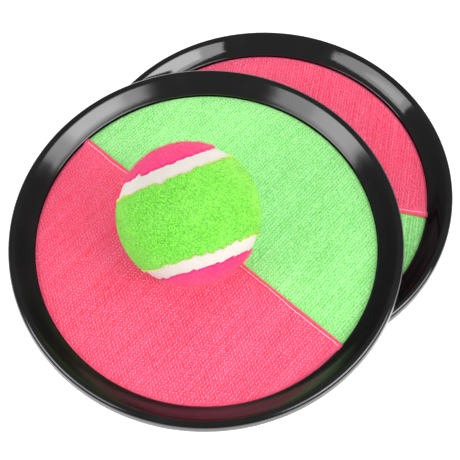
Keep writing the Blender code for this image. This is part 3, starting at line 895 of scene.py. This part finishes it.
def belt(name, latitude, from_edge, top, nap, material, sign=1):
    """A cover from a grid of latitudes: an outside with rounded edges and a plain inside."""
    longitude = np.repeat(LONGITUDES[:, None], latitude.shape[1], 1)
    radius = top - EDGE_DROP * np.clip(1 - from_edge / EDGE_ROUND, 0, 1) ** 2
    outside = on_ball(latitude * sign, longitude, radius)
    if nap:
        outside = swollen(outside.reshape(-1, 3), nap).reshape(outside.shape)
    points = np.concatenate([outside, inner_side(latitude * sign, longitude, FELT_LOW)], 1)
    faces = grid_faces(BALL_COLUMNS, points.shape[1], close_rows=True, close_columns=True)
    return make_piece(name, points, faces[:, ::-1] if sign > 0 else faces, material, BALL_FRAME)


def cover(name, low_edge, high_edge, rows, top, nap, material):
    """A belt between two edge lines."""
    share, reach = np.linspace(0, 1, rows)[None, :], (high_edge - low_edge)[:, None]
    from_edge = np.minimum(share, 1 - share) * reach * BALL_RADIUS
    return belt(name, low_edge[:, None] + reach * share, from_edge, top, nap, material)


def cap_cover(name, edge, sign, rows, nap, material):
    """A round felt cap from its edge to the pole."""
    share, reach = np.linspace(0, 1, rows)[None, :], (math.radians(89.4) - edge)[:, None]
    latitude, from_edge = edge[:, None] + reach * share, share * reach * BALL_RADIUS
    return belt(name, latitude, from_edge, BALL_RADIUS, nap, material, sign)


EDGE_GAP = 0.0035
BAND_NAP, CAP_NAP = 0.00028, 0.00022
BAND_ROWS, STRIP_ROWS, CAP_ROWS = 96, 16, 54


def strip(name, low_edge, high_edge):
    """A smooth white tape, a hair's breadth from the felt on both sides."""
    low_edge, high_edge = low_edge + EDGE_GAP, high_edge - EDGE_GAP
    return cover(name, low_edge, high_edge, STRIP_ROWS, STRIP_TOP, 0, tape_white)


BAND = (-EDGES["band_down"], EDGES["band_up"])
band = cover("ball_green_felt", *BAND, BAND_ROWS, BALL_RADIUS, BAND_NAP, green_felt)
upper_strip = strip("ball_upper_white", EDGES["band_up"], EDGES["cap_up"])
lower_strip = strip("ball_lower_white", -EDGES["cap_down"], -EDGES["band_down"])
upper_cap = cap_cover("ball_upper_pink_felt", EDGES["cap_up"], 1, CAP_ROWS, CAP_NAP, pink_felt)
lower_cap = cap_cover("ball_lower_pink_felt", EDGES["cap_down"], -1, CAP_ROWS, CAP_NAP, pink_felt)
for piece, node, slot in (
    (band, "ball_green_band", "green_felt"),
    (upper_strip, "ball_upper_strip", "white_strip"),
    (lower_strip, "ball_lower_strip", "white_strip"),
    (upper_cap, "ball_upper_cap", "pink_felt"),
    (lower_cap, "ball_lower_cap", "pink_felt"),
):
    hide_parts(node)

rubber = Finish("grey_rubber", (0.12, 0.12, 0.12), 0.8)
rubber.link(rubber.span(rubber.noise(rubber.place(), 300.0), 0.3, 0.7, 0.7, 0.9), "Roughness")
finish_solid("ball_core", rubber.material)
print("ball pieces:", band.name, upper_strip.name, upper_cap.name)

# %% [markdown]
# ## Fibres of the felt
#
# Felt is a mat of short fibres, and the outermost ones lift off and curl. Each is a slim three
# sided spike, bent once. They stand everywhere, but most of them lie nearly flat, in directions
# that change slowly over the ball, as a napped felt has them after some play.

# %% Grow the fibres
FIBRE_RADIUS = 0.000055


def fibre_finish(name, root, tip):
    finish = Finish(name, tip, 0.85, Sheen_Weight=0.3)
    own = finish.noise(finish.place(), 900.0, 1.0)
    finish.link(finish.blend(finish.span(own, 0.35, 0.65), root, tip), "Base Color")
    return finish.material


def make_fibres(name, count, low, high, length, lift, material, seed):
    """Short bent spikes on the ball between two latitude lines."""
    chance = np.random.default_rng(seed)
    longitude = chance.uniform(0, 2 * math.pi, count)
    place = longitude / (2 * math.pi) * BALL_COLUMNS
    bottom = np.interp(place, np.arange(BALL_COLUMNS), low)
    top = np.interp(place, np.arange(BALL_COLUMNS), high)
    height = np.sin(bottom) + (np.sin(top) - np.sin(bottom)) * chance.uniform(0.004, 0.996, count)
    latitude = np.arcsin(np.clip(height, -1, 1))
    out = on_ball(latitude, longitude, np.ones(count))
    east = np.stack([-np.sin(longitude), np.cos(longitude), np.zeros(count)], 1)
    north = np.cross(out, east)
    heading = 2.4 * np.sin(3 * longitude + 4 * latitude) + chance.normal(0, 1.1, count)
    flat = east * np.cos(heading)[:, None] + north * np.sin(heading)[:, None]
    size = length * chance.uniform(0.5, 1.3, count)[:, None]
    rise = lift * chance.uniform(0.3, 1.6, count)[:, None]
    foot = out * (BALL_RADIUS - 0.00015)
    knee = foot + out * (0.00015 + size * rise * 0.6) + flat * size * 0.45
    end = knee + out * size * (rise * 0.7 - 0.12) + flat * size * 0.5
    across = np.cross(out, flat)
    rings = []
    for centre, width in ((foot, 1.0), (knee, 0.8)):
        for corner in np.radians([90, 210, 330]):
            sideways = out * math.sin(corner) + across * math.cos(corner)
            rings.append(centre + FIBRE_RADIUS * width * sideways)
    points = np.stack([*rings, end], 1)
    sides = [(0, 1, 4, 3), (1, 2, 5, 4), (2, 0, 3, 5)]
    spike = [(3, 4, 6), (4, 5, 6), (5, 3, 6), (2, 1, 0)]
    faces = []
    for k in range(count):
        faces += [tuple(7 * k + v for v in face) for face in sides + spike]
    fibres = make_piece(name, points, faces, material, BALL_FRAME)
    return fibres


POLE_LINE = np.full(BALL_COLUMNS, math.radians(89.9))
green_fibre = fibre_finish("green_fibres", (0.12, 0.60, 0.030), (0.42, 0.95, 0.18))
pink_fibre = fibre_finish("pink_fibres", (0.88, 0.030, 0.18), (1.0, 0.20, 0.30))
fringe_fibre = fibre_finish("fringe_fibres", (0.80, 0.95, 0.05), (1.0, 1.0, 0.22))
make_fibres("ball_green_fibres", 11000, *BAND, 0.0011, 0.40, green_fibre, 61)
FRINGE = 0.012
for name, line, seed in (("upper", EDGES["band_up"], 73), ("lower", -EDGES["band_down"], 79)):
    fringe = f"ball_{name}_green_fringe"
    make_fibres(fringe, 1800, line - FRINGE, line + FRINGE, 0.0009, 0.35, fringe_fibre, seed)
for name, low, high, seed in (
    ("upper", EDGES["cap_up"], POLE_LINE, 67),
    ("lower", -POLE_LINE, -EDGES["cap_down"], 71),
):
    make_fibres(f"ball_{name}_pink_fibres", 3000, low, high, 0.0012, 0.6, pink_fibre, seed)

# %% [markdown]
# ## Straps on the back
#
# A strip of webbing runs under one bar, across the hand well and round the other bar, and its free
# end is held by a small hook patch. It is a grid along the same path as its solid, with a rib for
# every warp thread. The weave itself is in the finish, because it is finer than a grid can be.

# %% Webbing and patch
STRAP_WIDTH = 0.0300
STRAP_THICKNESS = 0.0007
BAR_DISTANCE = 0.0480
WRAP_RADIUS = 0.00155
STRAP_LOW = 0.00065
STRAP_HIGH = 0.00245
STRAP_ROWS = 61


def webbing(name, dark, light, pitch):
    """Plain weave: two sets of ribs at right angles, one over the other."""
    finish = Finish(name, dark, 0.8, Sheen_Weight=0.25)
    own = finish.place()
    ribs = []
    for direction in ("X", "Y"):
        inputs = {"Vector": own, "Scale": 2 * math.pi / 20 / pitch, "Distortion": 0.4}
        bands = finish.add("TexWave", inputs, wave_type="BANDS", bands_direction=direction)
        ribs.append(bands["Fac"])
    weave = finish.math("MULTIPLY", ribs[0], ribs[1])
    finish.link(finish.blend(weave, dark, light), "Base Color")
    finish.link(finish.bump(weave, 0.0002, 0.8), "Normal")
    return finish.material


def ramp(start, end, low, high, shares):
    return [(start + (end - start) * t, low + (high - low) * eased(t)) for t in shares]


def strap_line():
    """Middle line of the webbing, in X and Z of the seam frame."""
    bar_height = STRAP_LOW + WRAP_RADIUS
    bar_top = bar_height + WRAP_RADIUS
    ramp_start, ramp_end = BAR_DISTANCE - 0.0078, BAR_DISTANCE - 0.0007
    line = [(-BAR_DISTANCE + 0.0300, STRAP_LOW)]
    line += arc_points((-BAR_DISTANCE, bar_height), WRAP_RADIUS, -90, -270, 13)
    line += ramp(-ramp_end, -ramp_start, bar_top, STRAP_HIGH, np.linspace(0.1, 1, 8))
    line += [(x, STRAP_HIGH) for x in np.linspace(-0.034, 0.034, 30)]
    line += ramp(ramp_start, ramp_end, STRAP_HIGH, bar_top, np.linspace(0.0, 0.9, 8))
    line += arc_points((BAR_DISTANCE, bar_height), WRAP_RADIUS, 90, -90, 13)
    line.append((BAR_DISTANCE - 0.0450, STRAP_LOW))
    return np.array(line)


def make_strap(which, material):
    line = strap_line()
    length = float(np.linalg.norm(np.diff(line, axis=0), axis=1).sum())
    side = beside(line)
    across = np.linspace(-STRAP_WIDTH / 2, STRAP_WIDTH / 2, STRAP_ROWS)
    rib = 0.00004 * np.cos(across * 2 * math.pi / 0.0015)
    half = np.where(np.abs(across) > 0.0148, 0.6, 1.0) * STRAP_THICKNESS / 2 - 0.00004 + rib
    layers = []
    for sign in (1, -1):
        x = line[:, :1] + side[:, :1] * half[None, :] * sign
        z = line[:, 1:] + side[:, 1:] * half[None, :] * sign
        y = np.repeat(across[None, :], len(line), 0)
        layer = np.stack([x, y, z], 2)
        layers.append(layer if sign > 0 else layer[:, ::-1])
    points = np.concatenate(layers, 1)
    width = points.shape[1]
    faces = list(map(tuple, grid_faces(len(line), width, close_columns=True)))
    for row, flip in ((0, False), (len(line) - 1, True)):
        for j in range(STRAP_ROWS - 1):
            quad = [row * width + v for v in (j, j + 1, width - 2 - j, width - 1 - j)]
            faces.append(tuple(quad if flip else quad[::-1]))
    strap = make_piece(which + "_hand_strap", points, faces, material, seam_frame(which))
    strap.data.set_sharp_from_angle(angle=math.radians(60))
    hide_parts(which + "_paddle_hand_strap")
    return length


black_webbing = webbing("black_webbing", (0.010, 0.010, 0.011), (0.045, 0.045, 0.048), 0.00125)
hook_patch = webbing("black_hook_patch", (0.008, 0.008, 0.009), (0.06, 0.06, 0.065), 0.0009)
for which in PADDLES:
    print(which, "strap length in mm:", round(make_strap(which, black_webbing) * 1000, 1))
    finish_solid(which + "_paddle_strap_tab", hook_patch)

# %% [markdown]
# ## Table, lamps and air
#
# The set lies on a white table that the photograph shows as plain white. Two soft boxes stand low
# at the left and the right, and the slope of each ring mirrors them as broad grey fields, so their
# place is read off the rings: a mirror shows from where the light comes. The table is white by its
# colour and by a little light of its own that only the camera and mirrors see, and it keeps the
# shadow. The air looks dim in a mirror, because the upper slopes of the rings mirror a dark room,
# but it fills the shadows: more from the right and from low down, less from straight above.

# %% White table
def make_table():
    mesh = bpy.data.meshes.new("table")
    reach = 3.0
    corners = [(-reach, -reach, 0), (reach, -reach, 0), (reach, reach, 0), (-reach, reach, 0)]
    mesh.from_pydata(corners, [], [(0, 1, 2, 3)])
    table = bpy.data.objects.new("table", mesh)
    table.location.z = -0.0002
    bpy.context.scene.collection.objects.link(table)
    finish = Finish("white_table", (0.90, 0.90, 0.90), 0.7)
    seen = finish.add("LightPath")
    mirrored = finish.math("MAXIMUM", seen["Is Glossy Ray"], seen["Is Transmission Ray"])
    shown = finish.math("MAXIMUM", seen["Is Camera Ray"], mirrored)
    mottle = finish.noise(finish.place(), 6.0)
    finish.link(finish.blend(mottle, (0.89, 0.89, 0.89), (0.91, 0.91, 0.91)), "Base Color")
    finish.shader.inputs["Emission Color"].default_value = (1, 1, 1, 1)
    finish.link(finish.math("MULTIPLY", shown, 0.62), "Emission Strength")
    mesh.materials.append(finish.material)
    return table


make_table()

# %% Air that fills the shadows and looks dim in a mirror
FILL_LEVEL = 1.56
FILL_SLOPE = (0.30, 0.25, -0.85)
MIRRORED_AIR = {"From Min": 0.05, "From Max": 0.60, "To Min": 0.03, "To Max": 0.22}


def make_air():
    world = bpy.data.worlds.new("air")
    world.use_nodes = True
    bpy.context.scene.world = world
    tree = world.node_tree

    def joined(operation, first, second):
        return add_node(tree, "Math", {0: first, 1: second}, operation=operation)["Value"]

    seen = add_node(tree, "LightPath")
    direction = add_node(tree, "TexCoord")["Generated"]
    height = add_node(tree, "SeparateXYZ", {0: direction})["Z"]
    fade = add_node(tree, "MapRange", {"Value": height, **MIRRORED_AIR})["Result"]
    mirror = joined("MAXIMUM", seen["Is Glossy Ray"], seen["Is Transmission Ray"])
    shown = joined("MAXIMUM", seen["Is Camera Ray"], joined("MULTIPLY", mirror, fade))
    tilt = add_node(tree, "VectorMath", {0: direction, 1: FILL_SLOPE}, operation="DOT_PRODUCT")
    fill = joined("ADD", tilt["Value"], FILL_LEVEL)
    looked_at = joined("MAXIMUM", seen["Is Camera Ray"], mirror)
    strength = add_node(tree, "Mix", {0: looked_at, 2: fill, 3: shown}, data_type="FLOAT")[0]
    background = tree.nodes["Background"]
    background.inputs["Color"].default_value = (1, 1, 1, 1)
    tree.links.new(strength, background.inputs["Strength"])


make_air()

# %% Soft boxes
def soft_box(name, azimuth, elevation, distance, width, height, radiance, lean=0.0):
    """A flat lamp that faces the set, placed by the direction from which it shines."""
    data = bpy.data.lights.new(name, "AREA")
    data.shape = "RECTANGLE"
    data.size, data.size_y = width, height
    data.energy = radiance * width * height * math.pi
    lamp = bpy.data.objects.new(name, data)
    turn_to, lift = math.radians(azimuth), math.radians(elevation)
    out = Vector(
        (math.cos(turn_to) * math.cos(lift), math.sin(turn_to) * math.cos(lift), math.sin(lift))
    )
    lamp.location = out * distance
    aim = (-out).to_track_quat("-Z", "Y").to_matrix() @ Matrix.Rotation(math.radians(lean), 3, "Z")
    lamp.rotation_euler = aim.to_euler()
    bpy.context.scene.collection.objects.link(lamp)
    return lamp


# name, azimuth, elevation, distance, width, height, radiance, lean
for placed in (
    ("right_soft_box", -28.5, 36.5, 1.3, 1.10, 0.46, 4.2, -12),
    ("right_lamp_core", -30.0, 36.0, 1.29, 0.56, 0.32, 3.6, -12),
    ("left_soft_box", 208.5, 36.0, 1.3, 0.92, 0.46, 3.5, 12),
    ("left_lamp_core", 201.0, 34.0, 1.29, 0.46, 0.32, 2.0, 12),
):
    soft_box(*placed)

# %% [markdown]
# ## Measure and finish
#
# The dressed set has to stay the size of its solids. Here its triangles are counted.

# %% Count the triangles
def triangle_count(piece):
    return sum(len(face.vertices) - 2 for face in piece.data.polygons)


meshes = [piece for piece in bpy.context.scene.objects if piece.type == "MESH"]
pieces = [piece for piece in meshes if not piece.hide_render]
print("triangles in all:", sum(triangle_count(piece) for piece in pieces))
print("most in one piece:", max(triangle_count(piece) for piece in pieces))
